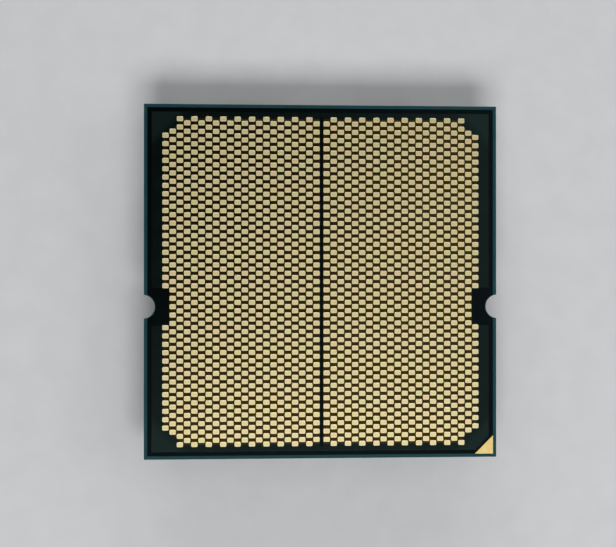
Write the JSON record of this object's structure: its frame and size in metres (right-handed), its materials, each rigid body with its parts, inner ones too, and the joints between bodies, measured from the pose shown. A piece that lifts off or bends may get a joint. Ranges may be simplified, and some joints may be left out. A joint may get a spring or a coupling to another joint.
{
  "type": "computer processor",
  "caption": "Square land-grid computer processor: a laminated board with gold lands, two keying notches and a corner marker, on a windowed metal heat spreader.",
  "frame": {"origin": "centre of the heat spreader's outer face, which is the lowest face", "axes": "+Z from the heat spreader to the lands, +Y to the back, away from the keying notches, +X to the right, so that the pin 1 marker is at +X -Y"},
  "size_m": [0.04, 0.04, 0.005],
  "materials": {
    "nickel_plate": "matte nickel plate over copper, fine blasted grain",
    "adhesive": "black silicone adhesive, matte",
    "solder": "soft bright solder, slightly dull",
    "silicon": "bare silicon, smooth grey",
    "underfill": "dark filled epoxy, satin",
    "capacitor_ceramic": "tan ceramic with tinned end caps",
    "laminate_core": "glass-filled epoxy, sawn edge",
    "laminate": "dark teal resin, satin",
    "copper": "etched copper, satin",
    "solder_mask": "black solder mask, smooth satin",
    "gold": "thin gold plate over nickel, satin, light wear"
  },
  "bodies": {
    "root": {"heat_spreader": "nickel_plate", "adhesive_front": "adhesive", "adhesive_front_right": "adhesive", "adhesive_right": "adhesive", "adhesive_back_right": "adhesive", "adhesive_back": "adhesive", "adhesive_back_left": "adhesive", "adhesive_left": "adhesive", "adhesive_front_left": "adhesive", "compute_die_left_thermal_solder": "solder", "compute_die_left": "silicon", "compute_die_left_bump_layer": "solder", "compute_die_left_underfill": "underfill", "compute_die_right_thermal_solder": "solder", "compute_die_right": "silicon", "compute_die_right_bump_layer": "solder", "compute_die_right_underfill": "underfill", "io_die_thermal_solder": "solder", "io_die": "silicon", "io_die_bump_layer": "solder", "io_die_underfill": "underfill", "capacitor_front_1": "capacitor_ceramic", "capacitor_front_2": "capacitor_ceramic", "capacitor_front_3": "capacitor_ceramic", "capacitor_front_4": "capacitor_ceramic", "capacitor_front_5": "capacitor_ceramic", "capacitor_front_6": "capacitor_ceramic", "capacitor_right_1": "capacitor_ceramic", "capacitor_right_2": "capacitor_ceramic", "capacitor_right_3": "capacitor_ceramic", "capacitor_right_4": "capacitor_ceramic", "capacitor_right_5": "capacitor_ceramic", "capacitor_right_6": "capacitor_ceramic", "capacitor_back_1": "capacitor_ceramic", "capacitor_back_2": "capacitor_ceramic", "capacitor_back_3": "capacitor_ceramic", "capacitor_back_4": "capacitor_ceramic", "capacitor_back_5": "capacitor_ceramic", "capacitor_back_6": "capacitor_ceramic", "capacitor_left_1": "capacitor_ceramic", "capacitor_left_2": "capacitor_ceramic", "capacitor_left_3": "capacitor_ceramic", "capacitor_left_4": "capacitor_ceramic", "capacitor_left_5": "capacitor_ceramic", "capacitor_left_6": "capacitor_ceramic", "core_laminate": "laminate_core", "buildup_die_side": "laminate", "buildup_land_side": "laminate", "copper_plane_die_side": "copper", "solder_mask_die_side": "solder_mask", "pin_one_marker_die_side": "gold", "copper_plane_land_side": "copper", "solder_mask_land_side": "solder_mask", "pin_one_marker_land_side": "gold", "land_field_left": "gold", "land_field_right": "gold"}
  },
  "joints": []
}
